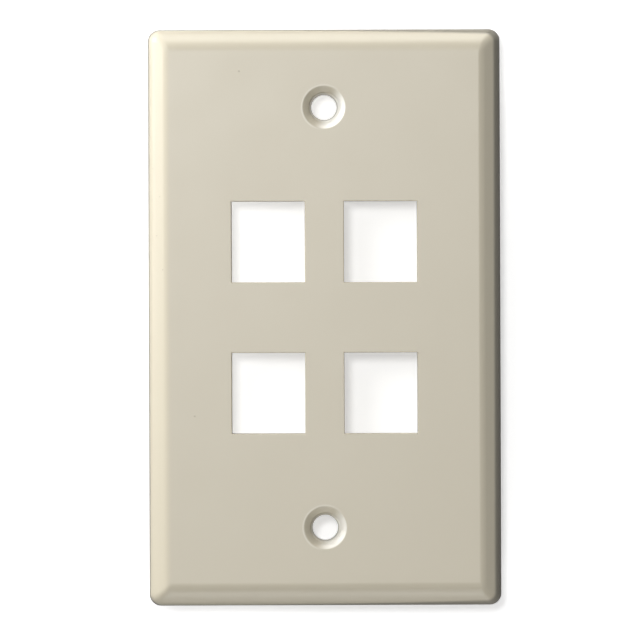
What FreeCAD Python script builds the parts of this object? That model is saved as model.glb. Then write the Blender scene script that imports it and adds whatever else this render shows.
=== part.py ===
# Keystone faceplate for a single-gang wall box: four ports in two columns and two rows.
# The frame is the plate's own, as it is fixed to the wall: X to the right, Z up, Y into the wall.
# The wall's surface is Y = 0, so the front face lies at Y = -plate_depth.
import FreeCAD, Part
import os
from math import radians

import Sketcher
from FreeCAD import Placement, Rotation, Vector

NODE = "faceplate"
NEAR = 1e-4

# Millimetres and degrees
SIZES = {
    # Outside of the moulded shell
    "plate_width": 69.85,
    "plate_depth": 6.35,
    "corner_radius": 2.3,
    "skirt_draft": 4.0,
    "bevel_drop": 2.4,
    "side_bevel_width": 3.3,
    "side_crease_radius": 2.6,
    "side_foot_radius": 3.6,
    "end_bevel_width": 2.6,
    "end_crease_radius": 4.6,
    "end_foot_radius": 2.6,
    # Walls of the shell
    "face_wall": 2.2,
    "bevel_wall": 2.0,
    "rim_wall": 2.0,
    "cavity_corner_radius": 1.0,
    # Stiffening ribs
    "rib_thickness": 1.1,
    "rib_recess": 1.4,
    # Screw holes
    "screw_spacing": 83.3,
    "screw_to_end": 15.5,
    "screw_hole_diameter": 5.0,
    "throat_diameter": 5.95,
    "throat_depth": 1.0,
    "countersink_diameter": 8.3,
    "countersink_angle": 90.0,
    "countersink_blend": 0.5,
    "boss_diameter": 10.0,
    # Ports
    "window_width": 14.5,
    "window_height": 16.0,
    "window_blend": 0.2,
    "column_pitch": 22.3,
    "row_pitch": 30.0,
    "rows": 2,
    "housing_depth": 9.8,
    "housing_wall": 1.5,
    "catch_depth": 8.0,
    "latch_room": 4.0,
    "latch_room_start": 3.4,
    "catch_overhang": 2.0,
    "hook_room": 2.0,
    "hook_room_start": 6.5,
    "mouth_lead": 0.8,
}

# The plate reaches the same distance past both screws.
PLATE_HEIGHT = "(sizes.screw_spacing + 2 * sizes.screw_to_end)"

# Heights above the wall's surface, in the sheet's own names
SKIRT = "(sizes.plate_depth - sizes.bevel_drop)"
FLOOR = "(sizes.plate_depth - sizes.face_wall)"
INSIDE_FACE = "(sizes.plate_depth - sizes.face_wall / 2)"
HOUSING_REAR = "(sizes.plate_depth - sizes.housing_depth)"

# The cavity's slope runs parallel to the side bevels, a bevel_wall away from them.
BEVEL_SLOPE = "(sizes.bevel_drop / sizes.side_bevel_width)"
BEVEL_LENGTH = "hypot(sizes.side_bevel_width; sizes.bevel_drop)"
SLOPE_SHIFT = f"(sizes.bevel_wall * {BEVEL_LENGTH} / sizes.side_bevel_width)"
SLOPE_START = f"({SKIRT} + sizes.rim_wall * {BEVEL_SLOPE} - {SLOPE_SHIFT})"

# The throat begins where the countersink has narrowed to its diameter, and narrows to the hole.
COUNTERSINK_RUN = "((sizes.countersink_diameter - sizes.throat_diameter) / 2)"
THROAT_TOP = f"(sizes.plate_depth - {COUNTERSINK_RUN} / tan(sizes.countersink_angle * 0.5 deg))"
THROAT_TAPER = "atan((sizes.throat_diameter - sizes.screw_hole_diameter) / 2 / sizes.throat_depth)"

# How far each section of the shell lies inside the plate's outline
DRAFT = "(sizes.skirt_draft * 1 deg)"
FRONT_INSET = f"(sizes.plate_depth * tan({DRAFT}))"
FLOOR_INSET = f"(sizes.rim_wall + ({FLOOR} - {SLOPE_START}) / {BEVEL_SLOPE})"


def fill_sheet(doc):
    sheet = doc.addObject("Spreadsheet::Sheet", "sizes")
    for row, (alias, value) in enumerate(SIZES.items(), start=1):
        sheet.set(f"A{row}", alias)
        sheet.set(f"B{row}", str(value))
        sheet.setAlias(f"B{row}", alias)
    doc.recompute()


def origin_feature(body, role):
    return next(f for f in body.Origin.OriginFeatures if f.Role == role)


def new_sketch(body, name, role, offset):
    """Sketch on an origin plane of the body, moved along that plane's normal."""
    sketch = body.newObject("Sketcher::SketchObject", name)
    sketch.AttachmentSupport = [(origin_feature(body, role), "")]
    sketch.MapMode = "FlatFace"
    sketch.AttachmentOffset = Placement(Vector(0, 0, sketch.evalExpression(offset)), Rotation())
    sketch.setExpression("AttachmentOffset.Base.z", offset)
    return sketch


def drive(sketch, kind, ends, name, expression):
    """Dimension of a sketch that follows the sheet."""
    size = sketch.evalExpression(expression)
    index = sketch.addConstraint(Sketcher.Constraint(kind, *ends, size))
    sketch.renameConstraint(index, name)
    sketch.setExpression(f"Constraints.{name}", expression)


def arc_between(start, end, radius):
    """Short arc that bulges away from the sketch's origin."""
    way = end - start
    outwards = Vector(-way.y, way.x, 0).normalize()
    if outwards.dot(start + end) < 0:
        outwards = -outwards
    bulge = radius - (radius**2 - way.Length**2 / 4) ** 0.5
    return Part.Arc(start, (start + end) / 2 + outwards * bulge, end)


def add_outline(sketch, name, corners, arcs=None):
    """Closed outline with each corner placed by two expressions; arcs gives the curved sides' radii."""
    arcs = arcs or {}
    points = [Vector(sketch.evalExpression(x), sketch.evalExpression(y), 0) for x, y in corners]
    first = sketch.GeometryCount
    for step, (start, end) in enumerate(zip(points, points[1:] + points[:1])):
        if step in arcs:
            sketch.addGeometry(arc_between(start, end, sketch.evalExpression(arcs[step])))
        else:
            sketch.addGeometry(Part.LineSegment(start, end))
    for step, radius in arcs.items():
        drive(sketch, "Radius", (first + step,), f"{name}_{step}_radius", radius)
    for step, (across, up) in enumerate(corners):
        side = first + step
        side_before = first + (step - 1) % len(corners)
        sketch.addConstraint(Sketcher.Constraint("Coincident", side_before, 2, side, 1))
        drive(sketch, "DistanceX", (-1, 1, side, 1), f"{name}_{step}_across", across)
        drive(sketch, "DistanceY", (-1, 1, side, 1), f"{name}_{step}_up", up)


def add_rectangle(sketch, name, left, right, bottom, top):
    add_outline(sketch, name, [(left, bottom), (right, bottom), (right, top), (left, top)])


def add_screw_circles(sketch, diameter):
    """Circles of one diameter at the two screws, on the plate's upright centre line."""
    for name, height in (("upper", "sizes.screw_spacing / 2"), ("lower", "-sizes.screw_spacing / 2")):
        centre = Vector(0, sketch.evalExpression(height), 0)
        radius = sketch.evalExpression(diameter) / 2
        circle = sketch.addGeometry(Part.Circle(centre, Vector(0, 0, 1), radius))
        sketch.addConstraint(Sketcher.Constraint("PointOnObject", circle, 3, -2))
        drive(sketch, "Diameter", (circle,), f"{name}_diameter", diameter)
        drive(sketch, "DistanceY", (-1, 1, circle, 3), f"{name}_height", height)


def outline_section(body, name, height, inset):
    """Rectangle parallel to the wall, the plate's outline moved in by an inset."""
    sketch = new_sketch(body, name, "XZ_Plane", height)
    side = f"(sizes.plate_width / 2 - {inset})"
    end = f"({PLATE_HEIGHT} / 2 - {inset})"
    add_rectangle(sketch, "outline", f"-{side}", side, f"-{end}", end)
    return sketch


def cavity_section(body, name, height, inset):
    """Rounded rectangle parallel to the wall, inside the plate's outline by an inset."""
    sketch = new_sketch(body, name, "XZ_Plane", height)
    width = f"sizes.plate_width - 2 * {inset}"
    tall = f"{PLATE_HEIGHT} - 2 * {inset}"
    bend = sketch.evalExpression("sizes.cavity_corner_radius")
    flat_x = sketch.evalExpression(width) / 2 - bend
    flat_z = sketch.evalExpression(tall) / 2 - bend
    for side_x, side_z, start in ((1, 1, 0), (-1, 1, 90), (-1, -1, 180), (1, -1, 270)):
        circle = Part.Circle(Vector(side_x * flat_x, side_z * flat_z, 0), Vector(0, 0, 1), bend)
        sketch.addGeometry(Part.ArcOfCircle(circle, radians(start), radians(start + 90)))
    for arc in range(4):
        next_arc = (arc + 1) % 4
        side = sketch.addGeometry(
            Part.LineSegment(sketch.getPoint(arc, 2), sketch.getPoint(next_arc, 1))
        )
        sketch.addConstraint(Sketcher.Constraint("Tangent", arc, 2, side, 1))
        sketch.addConstraint(Sketcher.Constraint("Tangent", side, 2, next_arc, 1))
    top, left, bottom, right = range(4, 8)
    for level, upright in ((top, left), (bottom, right)):
        sketch.addConstraint(Sketcher.Constraint("Horizontal", level))
        sketch.addConstraint(Sketcher.Constraint("Vertical", upright))
    for arc in (1, 2, 3):
        sketch.addConstraint(Sketcher.Constraint("Equal", 0, arc))
    sketch.addConstraint(Sketcher.Constraint("Symmetric", 0, 3, 2, 3, -1, 1))
    drive(sketch, "Radius", (0,), "corner", "sizes.cavity_corner_radius")
    drive(sketch, "DistanceX", (left, 1, right, 1), "width", width)
    drive(sketch, "DistanceY", (bottom, 1, top, 1), "tall", tall)
    return sketch


def add_loft(body, kind, name, sections):
    loft = body.newObject(kind, name)
    loft.Profile = sections[0]
    loft.Sections = [(section, "") for section in sections[1:]]
    loft.Ruled = True
    body.Document.recompute()
    return loft


def add_pad(body, name, sketch, length):
    pad = body.newObject("PartDesign::Pad", name)
    pad.Profile = sketch
    pad.setExpression("Length", length)
    return pad


def add_fillet(body, name, edges, radius):
    """Fillet on the chosen edges of the body's last feature."""
    base = body.Tip
    fillet = body.newObject("PartDesign::Fillet", name)
    fillet.Base = (base, edges)
    fillet.setExpression("Radius", radius)
    body.Document.recompute()


def edge_names(shape, wanted):
    return [f"Edge{n}" for n, edge in enumerate(shape.Edges, start=1) if wanted(edge)]


def lip_edges(shape, height, curve_type):
    """Edges of one kind around the openings of the flat front face."""
    face = next(
        f
        for f in shape.Faces
        if abs(f.BoundBox.YMin + height) < NEAR and abs(f.BoundBox.YMax + height) < NEAR
    )
    lips = [edge for wire in face.Wires if not wire.isSame(face.OuterWire) for edge in wire.Edges]
    lips = [edge for edge in lips if edge.Curve.TypeId == curve_type]
    return edge_names(shape, lambda edge: any(edge.isSame(lip) for lip in lips))


def cut_bevel(body, side, role, mirror, plate_size, length):
    """Bevel along one side of the plate and the side opposite.

    Its profile leaves the face in an arc, falls straight, and rolls over into the drafted skirt.
    It is cut past both ends of the plate.
    """
    width = f"sizes.{side}_bevel_width"
    crease_radius = f"sizes.{side}_crease_radius"
    foot_radius = f"sizes.{side}_foot_radius"
    slope = f"atan(sizes.bevel_drop / {width})"
    crease_reach = f"({crease_radius} * tan({slope} / 2))"
    foot_reach = f"({foot_radius} * tan((90 deg - {DRAFT} - {slope}) / 2))"
    foot_across = f"({plate_size} / 2 - {SKIRT} * tan({DRAFT}))"
    crease_across = f"({foot_across} - {width})"
    face_end = f"{crease_across} - {crease_reach}"
    foot_end = f"{SKIRT} - {foot_reach} * cos({DRAFT})"
    clear_across = f"{plate_size} / 2 + sizes.bevel_drop"
    clear_height = "sizes.plate_depth + sizes.bevel_drop"
    corners = [
        (face_end, "sizes.plate_depth"),
        (
            f"{crease_across} + {crease_reach} * cos({slope})",
            f"sizes.plate_depth - {crease_reach} * sin({slope})",
        ),
        (f"{foot_across} - {foot_reach} * cos({slope})", f"{SKIRT} + {foot_reach} * sin({slope})"),
        (f"{foot_across} + {foot_reach} * sin({DRAFT})", foot_end),
        (clear_across, foot_end),
        (clear_across, clear_height),
        (face_end, clear_height),
    ]
    if role == "YZ_Plane":
        corners = [(f"-({height})", f"-({across})") for across, height in corners]
    else:
        corners = [(across, f"-({height})") for across, height in corners]
    profile = new_sketch(body, f"{side}_bevel_profile", role, "0")
    add_outline(profile, "cut", corners, {0: crease_radius, 2: foot_radius})
    cut = body.newObject("PartDesign::Pocket", f"{side}_bevel")
    cut.Profile = profile
    cut.SideType = "Symmetric"
    cut.setExpression("Length", f"{length} + sizes.plate_depth")
    opposite = body.newObject("PartDesign::Mirrored", f"opposite_{side}_bevel")
    opposite.Originals = [cut]
    opposite.MirrorPlane = (origin_feature(body, mirror), [""])
    body.Tip = opposite
    body.Document.recompute()


def corner_edges(shape):
    """Edges that run askew at the plate's corners, where two sides meet."""
    return edge_names(shape, lambda edge: edge.BoundBox.XLength > NEAR and edge.BoundBox.ZLength > NEAR)


def make_shell(body):
    """Skirt and bevels outside, and the hollow behind them."""
    outside = [
        outline_section(body, "wall_outline", "0", "0"),
        outline_section(body, "front_outline", "sizes.plate_depth", FRONT_INSET),
    ]
    add_loft(body, "PartDesign::AdditiveLoft", "shell", outside)
    cut_bevel(body, "side", "XY_Plane", "YZ_Plane", "sizes.plate_width", PLATE_HEIGHT)
    cut_bevel(body, "end", "YZ_Plane", "XY_Plane", PLATE_HEIGHT, "sizes.plate_width")
    add_fillet(body, "corners", corner_edges(body.Tip.Shape), "sizes.corner_radius")
    inside = [
        cavity_section(body, "cavity_mouth", "0", "sizes.rim_wall"),
        cavity_section(body, "cavity_slope", SLOPE_START, "sizes.rim_wall"),
        cavity_section(body, "cavity_floor", FLOOR, FLOOR_INSET),
    ]
    add_loft(body, "PartDesign::SubtractiveLoft", "cavity", inside)


def add_rib(body, name, role, offset, span):
    """Upright plate behind the face, with its edge buried in the middle of the shell's walls."""
    edge = f"({span} - sizes.rim_wall) / 2"
    knee = f"({SLOPE_START} + ({SLOPE_SHIFT} - sizes.rim_wall * {BEVEL_SLOPE}) / 2)"
    rise = f"({INSIDE_FACE} - {knee}) / {BEVEL_SLOPE}"
    half = [(edge, "sizes.rib_recess"), (edge, knee), (f"{edge} - {rise}", INSIDE_FACE)]
    corners = half + [(f"-({along})", height) for along, height in reversed(half)]
    side_view = new_sketch(body, f"{name}_side", role, offset)
    if role == "YZ_Plane":
        add_outline(side_view, "rib", [(f"-{height}", along) for along, height in corners])
    else:
        add_outline(side_view, "rib", [(along, f"-{height}") for along, height in corners])
    rib = add_pad(body, name, side_view, "sizes.rib_thickness")
    rib.SideType = "Symmetric"


def make_ribs(body):
    """A spine down the middle, and cross ribs at the screws and at the rows of ports."""
    add_rib(body, "spine", "YZ_Plane", "0", PLATE_HEIGHT)
    levels = {
        "upper_screw_rib": "sizes.screw_spacing / 2",
        "upper_port_rib": "sizes.row_pitch / 2",
        "lower_port_rib": "-sizes.row_pitch / 2",
        "lower_screw_rib": "-sizes.screw_spacing / 2",
    }
    for name, level in levels.items():
        add_rib(body, name, "XY_Plane", level, "sizes.plate_width")


def make_bosses(body):
    circles = new_sketch(body, "boss_circles", "XZ_Plane", "0")
    add_screw_circles(circles, "sizes.boss_diameter")
    add_pad(body, "bosses", circles, INSIDE_FACE)


def make_ports(body):
    """The upper right port, then its copies down the column and across to the other column.

    A jack goes in from behind: its fixed hook sits below the window, its latch above it.
    """
    middle_x = "sizes.column_pitch / 2"
    middle_z = "sizes.row_pitch / 2"
    half_window = "sizes.window_width / 2"
    sill = f"({middle_z} - sizes.window_height / 2)"
    lintel = f"({middle_z} + sizes.window_height / 2)"
    hook_top = f"({sill} - sizes.hook_room)"
    latch_top = f"({lintel} + sizes.latch_room)"
    catch = f"({lintel} + sizes.latch_room - sizes.catch_overhang)"

    # Block that the port is cut into
    block = new_sketch(body, "housing_outline", "XZ_Plane", HOUSING_REAR)
    half_block = f"({half_window} + sizes.housing_wall)"
    add_rectangle(
        block,
        "block",
        f"{middle_x} - {half_block}",
        f"{middle_x} + {half_block}",
        f"{hook_top} - sizes.housing_wall",
        f"{latch_top} + sizes.housing_wall",
    )
    housing = add_pad(body, "housing", block, "sizes.housing_depth - sizes.face_wall / 2")

    # Side view of the way through: the window in front, a taller mouth with leads behind
    front = "-sizes.plate_depth"
    rear = "(sizes.housing_depth - sizes.plate_depth)"
    catch_face = "(sizes.catch_depth - sizes.plate_depth)"
    lead_start = f"({rear} - sizes.mouth_lead)"
    passage_side = new_sketch(body, "passage_side", "YZ_Plane", middle_x)
    add_outline(
        passage_side,
        "passage",
        [
            (front, sill),
            (lead_start, sill),
            (rear, f"{sill} - sizes.mouth_lead"),
            (rear, f"{catch} + sizes.mouth_lead"),
            (lead_start, catch),
            (catch_face, catch),
            (catch_face, lintel),
            (front, lintel),
        ],
    )
    passage = body.newObject("PartDesign::Pocket", "passage")
    passage.Profile = passage_side
    passage.SideType = "Symmetric"
    passage.setExpression("Length", "sizes.window_width")

    # Rooms for the latch and the hook, open through the housing's outer side wall
    rooms_side = new_sketch(body, "rooms_side", "YZ_Plane", f"{middle_x} - {half_window}")
    latch_start = "(sizes.latch_room_start - sizes.plate_depth)"
    hook_start = "(sizes.hook_room_start - sizes.plate_depth)"
    add_rectangle(rooms_side, "latch_room", latch_start, catch_face, lintel, latch_top)
    add_rectangle(rooms_side, "hook_room", hook_start, catch_face, hook_top, sill)
    rooms = body.newObject("PartDesign::Pocket", "rooms")
    rooms.Profile = rooms_side
    rooms.Reversed = True
    rooms.setExpression("Length", "sizes.window_width + 2 * sizes.housing_wall")

    copies = body.newObject("PartDesign::MultiTransform", "ports")
    copies.Originals = [housing, passage, rooms]
    down = body.newObject("PartDesign::LinearPattern", "down_the_column")
    down.Direction = (origin_feature(body, "Z_Axis"), [""])
    down.Reversed = True
    down.Mode = "Spacing"
    down.setExpression("Offset", "sizes.row_pitch")
    down.setExpression("Occurrences", "sizes.rows")
    over = body.newObject("PartDesign::Mirrored", "other_column")
    over.MirrorPlane = (origin_feature(body, "YZ_Plane"), [""])
    copies.Transformations = [down, over]
    body.Tip = copies
    body.Document.recompute()


def make_screw_holes(body):
    circles = new_sketch(body, "screw_circles", "XZ_Plane", "sizes.plate_depth")
    add_screw_circles(circles, "sizes.screw_hole_diameter")
    holes = body.newObject("PartDesign::Hole", "screw_holes")
    holes.Profile = circles
    body.Document.recompute()
    holes.ThreadType = "None"
    holes.setExpression("Diameter", "sizes.screw_hole_diameter")
    holes.DepthType = "ThroughAll"
    holes.HoleCutType = "Countersink"
    holes.setExpression("HoleCutDiameter", "sizes.countersink_diameter")
    holes.setExpression("HoleCutCountersinkAngle", "sizes.countersink_angle")
    throat_circles = new_sketch(body, "throat_circles", "XZ_Plane", THROAT_TOP)
    add_screw_circles(throat_circles, "sizes.throat_diameter")
    throats = body.newObject("PartDesign::Pocket", "throats")
    throats.Profile = throat_circles
    throats.setExpression("Length", "sizes.throat_depth")
    throats.setExpression("TaperAngle", THROAT_TAPER)
    body.Document.recompute()


def soften_lips(body):
    """Small blends where the openings meet the front face."""
    lips = lip_edges(body.Tip.Shape, SIZES["plate_depth"], "Part::GeomLine")
    add_fillet(body, "window_lips", lips, "sizes.window_blend")
    rings = lip_edges(body.Tip.Shape, SIZES["plate_depth"], "Part::GeomCircle")
    add_fillet(body, "countersink_blends", rings, "sizes.countersink_blend")


def check(doc, body):
    """Stop if anything failed, is loose, or cut nothing."""
    for thing in doc.Objects:
        if "Invalid" in thing.State or "Error" in thing.State:
            raise RuntimeError(f"{thing.Name} has failed: {thing.State}")
    for sketch in doc.findObjects("Sketcher::SketchObject"):
        if not sketch.FullyConstrained:
            raise RuntimeError(f"{sketch.Name} is not fully constrained")
    for kind in ("PartDesign::Pocket", "PartDesign::Hole", "PartDesign::SubtractiveLoft"):
        for cut in doc.findObjects(kind):
            if cut.Shape.Volume >= cut.BaseFeature.Shape.Volume:
                raise RuntimeError(f"{cut.Name} cuts nothing")
    shape = body.Shape
    if shape.isNull() or not shape.isValid() or len(shape.Solids) != 1:
        raise RuntimeError("the faceplate is not one valid solid")


def main():
    doc = FreeCAD.newDocument("keystone_faceplate")
    fill_sheet(doc)
    body = doc.addObject("PartDesign::Body", NODE)
    body.Label = NODE
    make_shell(body)
    make_ribs(body)
    make_bosses(body)
    make_ports(body)
    make_screw_holes(body)
    soften_lips(body)
    doc.recompute()
    check(doc, body)
    os.makedirs("parts", exist_ok=True)
    body.Shape.exportStep(f"parts/{NODE}.step")
    box = body.Shape.optimalBoundingBox(False)
    print(f"{NODE}: {box.XLength:.2f} x {box.YLength:.2f} x {box.ZLength:.2f} mm")
    print(f"volume {body.Shape.Volume:.0f} mm3, {len(body.Shape.Faces)} faces")


main()
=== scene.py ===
# Keystone faceplate in ivory plastic, upright before a white card and lit from the upper left.
# Sizes are in metres, in the faceplate's own frame: X to the right, Z up, Y into the wall.
from math import cos, radians, sin

import bmesh
import bpy
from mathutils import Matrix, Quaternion, Vector


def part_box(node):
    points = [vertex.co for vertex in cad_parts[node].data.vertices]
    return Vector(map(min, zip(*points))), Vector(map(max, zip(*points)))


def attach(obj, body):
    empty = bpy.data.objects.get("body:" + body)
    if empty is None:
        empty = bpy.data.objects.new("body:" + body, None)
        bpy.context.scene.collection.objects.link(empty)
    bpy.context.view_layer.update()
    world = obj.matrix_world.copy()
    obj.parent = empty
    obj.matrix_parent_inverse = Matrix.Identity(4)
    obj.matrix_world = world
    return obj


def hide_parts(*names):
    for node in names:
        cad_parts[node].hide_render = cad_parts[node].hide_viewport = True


mm = 0.001
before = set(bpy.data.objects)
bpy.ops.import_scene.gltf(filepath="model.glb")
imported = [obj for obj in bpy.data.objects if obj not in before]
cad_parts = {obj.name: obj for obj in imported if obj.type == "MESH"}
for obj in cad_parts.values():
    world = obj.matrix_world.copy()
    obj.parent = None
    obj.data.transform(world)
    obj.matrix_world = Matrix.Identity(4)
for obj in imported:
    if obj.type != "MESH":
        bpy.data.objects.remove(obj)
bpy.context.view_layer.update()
scene = bpy.context.scene
scene.view_settings.view_transform = "Standard"

# The photograph's framing, which the camera and the placed marks share
photo = {
    "side": 640,                    # pixels
    "pixelsPerMetre": 5035.0,       # at the plate's outline
    "plateCentre": (324.6, 317.4),  # pixels
    "roll": 0.2,                    # degrees, anticlockwise
}


def photoPoint(across, down):
    # Place on the plate, X and Z, of a pixel of the photograph
    x = (across - photo["plateCentre"][0]) / photo["pixelsPerMetre"]
    z = (photo["plateCentre"][1] - down) / photo["pixelsPerMetre"]
    turn = radians(photo["roll"])
    return x * cos(turn) + z * sin(turn), z * cos(turn) - x * sin(turn)


class Wire:
    # An output socket whose operators add Math nodes
    def __init__(self, graph, socket):
        self.graph = graph
        self.socket = socket

    def __add__(self, other):
        return self.graph.maths("ADD", self, other)

    def __radd__(self, other):
        return self.graph.maths("ADD", other, self)

    def __sub__(self, other):
        return self.graph.maths("SUBTRACT", self, other)

    def __rsub__(self, other):
        return self.graph.maths("SUBTRACT", other, self)

    def __mul__(self, other):
        return self.graph.maths("MULTIPLY", self, other)

    def __rmul__(self, other):
        return self.graph.maths("MULTIPLY", other, self)

    def __truediv__(self, other):
        return self.graph.maths("DIVIDE", self, other)

    def __rtruediv__(self, other):
        return self.graph.maths("DIVIDE", other, self)


class Graph:
    # A node tree, emptied and filled again
    def __init__(self, owner):
        owner.use_nodes = True
        self.tree = owner.node_tree
        self.tree.nodes.clear()

    def node(self, kind, settings, inputs, output=0):
        # Settings come first, then the values and links of the sockets
        made = self.tree.nodes.new(kind)
        for name, value in settings.items():
            setattr(made, name, value)
        for name, value in inputs.items():
            if isinstance(value, Wire):
                self.tree.links.new(value.socket, made.inputs[name])
            else:
                made.inputs[name].default_value = value
        return Wire(self, made.outputs[output]) if made.outputs else made

    def maths(self, operation, first, second):
        return self.node("ShaderNodeMath", {"operation": operation}, {0: first, 1: second})

    def steps(self, value, low, high):
        # 0 below low, 1 above high, smooth between
        settings = {"interpolation_type": "SMOOTHSTEP"}
        inputs = {"Value": value, "From Min": low, "From Max": high}
        return self.node("ShaderNodeMapRange", settings, inputs)

    def mix(self, share, first, second):
        return self.node("ShaderNodeMix", {"data_type": "RGBA"}, {0: share, 6: first, 7: second}, 2)

    def noise(self, place, size, detail, roughness=0.5):
        inputs = {"Vector": place, "Scale": 1 / size, "Detail": detail, "Roughness": roughness}
        return self.node("ShaderNodeTexNoise", {}, inputs)

    def awayFrom(self, place, x, z):
        # Distance from a line through the plate, straight into the wall
        flat = self.vector("MULTIPLY", place, (1.0, 0.0, 1.0))
        return self.vector("DISTANCE", flat, (x, 0.0, z), "Value")

    def vector(self, operation, first, second, output=0):
        settings = {"operation": operation}
        return self.node("ShaderNodeVectorMath", settings, {0: first, 1: second}, output)

    def along(self, place, axis):
        return self.node("ShaderNodeSeparateXYZ", {}, {"Vector": place}, axis)

    def lightPath(self, ray):
        return self.node("ShaderNodeLightPath", {}, {}, ray)

    def surface(self, shader):
        self.node("ShaderNodeOutputMaterial", {}, {"Surface": shader})


def newMaterial(name):
    material = bpy.data.materials.new(name)
    return material, Graph(material)


# Ivory plastic: satin, very finely grained by the mould
ivory = {
    "colour": (0.570, 0.521, 0.409, 1.0),
    "cloudColour": (0.546, 0.502, 0.390, 1.0),
    "cloudSize": 26 * mm,
    "cloudDetail": 3.0,
    "cloudShare": 0.35,
    "roughness": 0.36,
    "roughnessSpread": 0.06,
    "smearSize": 9 * mm,
    "smearDetail": 4.0,
    "smearContrast": 0.6,
    "specular": 0.5,
    "grainSize": 0.22 * mm,
    "grainDetail": 2.0,
    "grainHeight": 0.0025 * mm,
    "waveSize": 7 * mm,
    "waveDetail": 1.0,
    "waveHeight": 0.010 * mm,
    "footShadeColour": (0.230, 0.215, 0.180, 1.0),  # painted shade along the foot of the plate
    "footShadeFrom": -3.9 * mm,
    "footShadeFull": -3.2 * mm,
    "footShadeShare": 0.75,
    "footShadeLean": 1.1 * mm,      # how much higher the painted shade reaches on the right side, away from the light
    "footShadeDip": 0.5,            # and what share of that lower on the left
    "footShadeWidth": 2.2 * mm,     # how far in from the plate's outline the painted shade lies
    "footShadeBlend": 0.3 * mm,
    "markColour": (0.12, 0.10, 0.07, 1.0),
    "markDarkness": 0.30,
    "markHeight": 0.05 * mm,
    # Painted highlights: the lip of each countersink is lighter on the upper left, its cone on the
    # lower right
    "screwSpacing": 83.3 * mm,
    "paintedHighlightColour": (0.93, 0.91, 0.84, 1.0),
    "lipRadius": 4.40 * mm,
    "lipWidth": 0.30 * mm,
    "lipHighlightShare": 0.28,
    "lipHighlightReach": (0.6, -0.4),    # where it starts and is full, from 1 lower right to -1 upper left
    "coneHighlightSide": 25.0,           # degrees below the right, where the cone's painted highlight is strongest
    "coneHighlightReach": (-0.1, 0.8),
    "upperConeHighlightShare": 1.0,
    "lowerConeHighlightShare": 0.75,
    "throatShadeColour": (0.200, 0.190, 0.160, 1.0),  # painted shade where each countersink meets its bore
    "throatRadius": 2.60 * mm,
    "throatWidth": 0.30 * mm,
    "throatShadeShare": 0.60,
    # Pimples in the moulding: pixels across and down, radius in mm
    "marks": [
        (239.0, 72.0, 0.26),
        (195.0, 416.0, 0.24),
        (157.0, 236.0, 0.16),
        (160.0, 197.0, 0.16),
        (163.0, 270.0, 0.18),
        (153.0, 169.0, 0.14),
    ],
}


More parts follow.
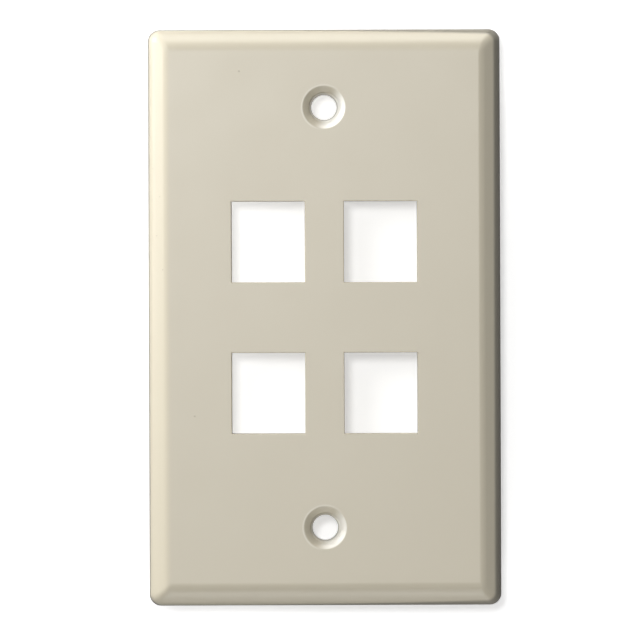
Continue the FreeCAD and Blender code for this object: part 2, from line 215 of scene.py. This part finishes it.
def ivoryPlastic():
    material, graph = newMaterial("ivoryPlastic")
    place = graph.node("ShaderNodeTexCoord", {}, {}, "Object")
    across, depth, height = (graph.along(place, axis) for axis in "XYZ")
    cloud = graph.noise(place, ivory["cloudSize"], ivory["cloudDetail"]) * ivory["cloudShare"]
    colour = graph.mix(cloud, ivory["colour"], ivory["cloudColour"])
    smear = graph.noise(place, ivory["smearSize"], ivory["smearDetail"], ivory["smearContrast"])
    roughness = smear * ivory["roughnessSpread"] + (ivory["roughness"] - ivory["roughnessSpread"] / 2)

    # Each mark is a soft round spot
    marks = 0.0
    for column, row, radius in ivory["marks"]:
        x, z = photoPoint(column, row)
        marks = marks + graph.steps(graph.awayFrom(place, x, z), radius * mm, 0.0)

    # Painted highlights on the lip and cone, and painted shade in the throat, of the two countersinks
    lipHighlights = 0.0
    coneHighlights = 0.0
    throatShades = 0.0
    side = radians(ivory["coneHighlightSide"])
    lip, lipWidth = ivory["lipRadius"], ivory["lipWidth"]
    throat, throatWidth = ivory["throatRadius"], ivory["throatWidth"]
    for way, coneHighlightShare in ((1, ivory["upperConeHighlightShare"]), (-1, ivory["lowerConeHighlightShare"])):
        level = way * ivory["screwSpacing"] / 2
        away = graph.awayFrom(place, 0.0, level)
        lowerRight = (across * cos(side) - (height - level) * sin(side)) / away
        pastCone = graph.steps(away, lip - lipWidth, lip)
        ring = pastCone * graph.steps(away, lip + lipWidth, lip)
        lipHighlights = lipHighlights + ring * graph.steps(lowerRight, *ivory["lipHighlightReach"])
        coneHighlights = coneHighlights + (1.0 - pastCone) * graph.steps(lowerRight, *ivory["coneHighlightReach"]) * coneHighlightShare
        throatShades = throatShades + graph.steps(away, throat + throatWidth, throat)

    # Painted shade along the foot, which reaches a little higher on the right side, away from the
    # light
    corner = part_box("faceplate")[1]
    shadeLean = graph.maths("MAXIMUM", across / corner.x, -ivory["footShadeDip"]) * ivory["footShadeLean"]
    footShadeDepth = graph.steps(depth + shadeLean, ivory["footShadeFrom"], ivory["footShadeFull"])
    beside = graph.maths("ABSOLUTE", across, 0.0) - corner.x
    above = graph.maths("ABSOLUTE", height, 0.0) - corner.z
    nearOutline = graph.maths("MAXIMUM", beside, above) + ivory["footShadeWidth"]
    footShade = footShadeDepth * graph.steps(nearOutline, 0.0, ivory["footShadeBlend"])

    # The marks, the countersinks' painted highlights and their painted throat shade stay out of the
    # depth of the painted foot shade
    front = 1.0 - footShadeDepth
    marks = marks * front
    paintedHighlight = (lipHighlights * ivory["lipHighlightShare"] + coneHighlights) * front
    # Painted highlights on the countersinks' lips and cones
    colour = graph.mix(paintedHighlight, colour, ivory["paintedHighlightColour"])
    # Painted shade in the countersinks' throats
    colour = graph.mix(throatShades * front * ivory["throatShadeShare"], colour, ivory["throatShadeColour"])
    # Painted shade along the foot of the plate
    colour = graph.mix(footShade * ivory["footShadeShare"], colour, ivory["footShadeColour"])
    colour = graph.mix(marks * ivory["markDarkness"], colour, ivory["markColour"])

    grain = graph.noise(place, ivory["grainSize"], ivory["grainDetail"]) * ivory["grainHeight"]
    wave = graph.noise(place, ivory["waveSize"], ivory["waveDetail"]) * ivory["waveHeight"]
    relief = grain + wave + marks * ivory["markHeight"]
    normal = graph.node("ShaderNodeBump", {}, {"Strength": 1.0, "Distance": 1.0, "Height": relief})
    shader = graph.node(
        "ShaderNodeBsdfPrincipled",
        {},
        {
            "Base Color": colour,
            "Roughness": roughness,
            "Specular IOR Level": ivory["specular"],
            "Normal": normal,
        },
    )
    graph.surface(shader)
    return material


# The faceplate's moulding: the CAD solid's own shape, merged and shaded smooth over its blends
moulding = {
    "mergeDistance": 0.001 * mm,
    "sharpAngle": 31.0,   # degrees, above which an edge stays crisp
}


def mouldedFaceplate(node):
    shape = bmesh.new()
    shape.from_mesh(node.data)
    bmesh.ops.remove_doubles(shape, verts=shape.verts, dist=moulding["mergeDistance"])
    for face in shape.faces:
        face.smooth = True
    for edge in shape.edges:
        edge.smooth = edge.calc_face_angle(0.0) < radians(moulding["sharpAngle"])
    mesh = bpy.data.meshes.new("mouldedFaceplate")
    shape.to_mesh(mesh)
    shape.free()
    piece = bpy.data.objects.new("mouldedFaceplate", mesh)
    scene.collection.objects.link(piece)
    weighted = piece.modifiers.new("evenShading", "WEIGHTED_NORMAL")
    weighted.keep_sharp = True
    piece.data.materials.append(ivoryPlastic())
    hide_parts("faceplate")
    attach(piece, "root")
    return piece


# White card behind the plate, which keeps its shadow, and a pale floor below the picture
surroundings = {
    "cardGap": 3 * mm,
    "cardHalfWidth": 600 * mm,
    "cardTop": 600 * mm,
    "floorLevel": -500 * mm,
    "floorHalfWidth": 900 * mm,
    "cardColour": (0.95, 0.95, 0.95, 1.0),   # as the camera sees it
    "cardBounce": (0.30, 0.30, 0.30, 1.0),   # as it lights the plate
    "floorColour": (0.30, 0.30, 0.30, 1.0),
    "cardGlow": 0.51,       # seen by the camera only
    "floorGlow": 0.62,
    "clearOfPlate": 14 * mm,  # distance from the plate's outline where the card starts to turn white
    "whiteFrom": 60 * mm,     # and where it is plain white
}


def cardMaterial():
    material, graph = newMaterial("whiteCard")
    place = graph.node("ShaderNodeTexCoord", {}, {}, "Object")
    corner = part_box("faceplate")[1]
    beside = graph.maths("ABSOLUTE", graph.along(place, "X"), 0.0) - corner.x
    above = graph.maths("ABSOLUTE", graph.along(place, "Z"), 0.0) - corner.z
    away = graph.maths("MAXIMUM", beside, above)
    clear = graph.steps(away, surroundings["clearOfPlate"], surroundings["whiteFrom"])
    glow = clear * (1.0 - surroundings["cardGlow"]) + surroundings["cardGlow"]
    seen = graph.lightPath("Is Camera Ray")
    tint = graph.mix(seen, surroundings["cardBounce"], surroundings["cardColour"])
    paper = graph.node("ShaderNodeBsdfDiffuse", {}, {"Color": tint})
    shine = graph.node("ShaderNodeEmission", {}, {"Strength": glow * seen})
    lit = graph.node("ShaderNodeAddShader", {}, {0: paper, 1: shine})
    # Clear from behind, and to the lamps, so that the back of the plate is lit and seen
    behind = graph.node("ShaderNodeNewGeometry", {}, {}, "Backfacing")
    clearShare = graph.maths("MAXIMUM", behind, graph.lightPath("Is Shadow Ray"))
    clearFilm = graph.node("ShaderNodeBsdfTransparent", {}, {})
    graph.surface(graph.node("ShaderNodeMixShader", {}, {0: clearShare, 1: lit, 2: clearFilm}))
    return material


def floorMaterial():
    material, graph = newMaterial("paleFloor")
    paper = graph.node("ShaderNodeBsdfDiffuse", {}, {"Color": surroundings["floorColour"]})
    strength = graph.lightPath("Is Camera Ray") * surroundings["floorGlow"]
    shine = graph.node("ShaderNodeEmission", {}, {"Strength": strength})
    graph.surface(graph.node("ShaderNodeAddShader", {}, {0: paper, 1: shine}))
    return material


def sheetOf(name, corners, material):
    shape = bmesh.new()
    shape.faces.new([shape.verts.new(corner) for corner in corners])
    mesh = bpy.data.meshes.new(name)
    shape.to_mesh(mesh)
    shape.free()
    mesh.materials.append(material)
    sheet = bpy.data.objects.new(name, mesh)
    scene.collection.objects.link(sheet)
    return sheet


def makeSurroundings():
    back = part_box("faceplate")[1].y + surroundings["cardGap"]
    half, top = surroundings["cardHalfWidth"], surroundings["cardTop"]
    floor, reach = surroundings["floorLevel"], surroundings["floorHalfWidth"]
    card = [(-half, back, floor), (half, back, floor), (half, back, top), (-half, back, top)]
    sheetOf("card", card, cardMaterial())
    ends = ((-reach, -reach), (reach, -reach), (reach, reach), (-reach, reach))
    sheetOf("floor", [(x, y, floor) for x, y in ends], floorMaterial())


# Lamps, which face the plate's middle: degrees left of the face's normal and above it, metres, watts
lamps = {
    "key": {"left": 5.8, "up": 6.4, "distance": 1.2, "side": 0.15, "power": 4.45},
    "wide": {"left": 30.0, "up": 20.0, "distance": 0.8, "side": 0.30, "power": 1.5},
    "grazing": {"left": 86.0, "up": 10.0, "distance": 0.32, "side": 0.12, "power": 0.18},
    "grazingHigh": {"left": 86.0, "up": 28.0, "distance": 0.32, "side": 0.12, "power": 1.05},
    "top": {"left": 0.0, "up": 84.0, "distance": 0.5, "side": 0.40, "power": 2.25},
    "bottom": {"left": 0.0, "up": -67.0, "distance": 0.45, "side": 0.25, "power": 0.60},
    "behind": {"left": 160.0, "up": 25.0, "distance": 0.7, "side": 0.30, "power": 1.2},
}
worldLevel = 0.01  # as the world lights the plate


def addLamp(name, values):
    turn, rise = radians(values["left"]), radians(values["up"])
    towards = Vector((-sin(turn) * cos(rise), -cos(turn) * cos(rise), sin(rise)))
    data = bpy.data.lights.new(name, "AREA")
    data.shape = "SQUARE"
    data.size = values["side"]
    data.energy = values["power"]
    lamp = bpy.data.objects.new(name, data)
    lamp.location = towards * values["distance"]
    lamp.rotation_mode = "QUATERNION"
    lamp.rotation_quaternion = towards.to_track_quat("Z", "Y")
    lamp.visible_camera = False
    scene.collection.objects.link(lamp)


def makeWorld():
    world = bpy.data.worlds.new("studio")
    scene.world = world
    graph = Graph(world)
    seen = 0.0
    for ray in ("Is Camera Ray", "Is Glossy Ray", "Is Transmission Ray"):
        seen = graph.maths("MAXIMUM", graph.lightPath(ray), seen)
    level = seen * (1.0 - worldLevel) + worldLevel
    inputs = {"Color": (1.0, 1.0, 1.0, 1.0), "Strength": level}
    light = graph.node("ShaderNodeBackground", {}, inputs)
    graph.node("ShaderNodeOutputWorld", {}, {"Surface": light})


# The camera stands straight before the plate
view = {
    "distance": 2.4,
    "clipEnd": 20.0,
    "sensor": 36.0,  # millimetres
}


def makeCamera():
    # The point of the plate that lies in the middle of the picture
    middle = photo["side"] / 2
    x, z = photoPoint(middle, middle)
    back = Vector((0.0, -1.0, 0.0))
    data = bpy.data.cameras.new("camera")
    data.sensor_width = view["sensor"]
    seenWidth = photo["side"] / photo["pixelsPerMetre"]
    data.lens = view["sensor"] * view["distance"] / seenWidth
    data.clip_end = view["clipEnd"]
    camera = bpy.data.objects.new("camera", data)
    camera.location = Vector((x, 0.0, z)) + back * view["distance"]
    camera.rotation_mode = "QUATERNION"
    roll = Quaternion(back, -radians(photo["roll"]))
    camera.rotation_quaternion = roll @ back.to_track_quat("Z", "Y")
    scene.collection.objects.link(camera)
    scene.camera = camera


mouldedFaceplate(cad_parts["faceplate"])
print("faceplate done")
makeSurroundings()
for lampName, lampValues in lamps.items():
    addLamp(lampName, lampValues)
makeWorld()
print("stage and lamps done")
makeCamera()
print("camera done")
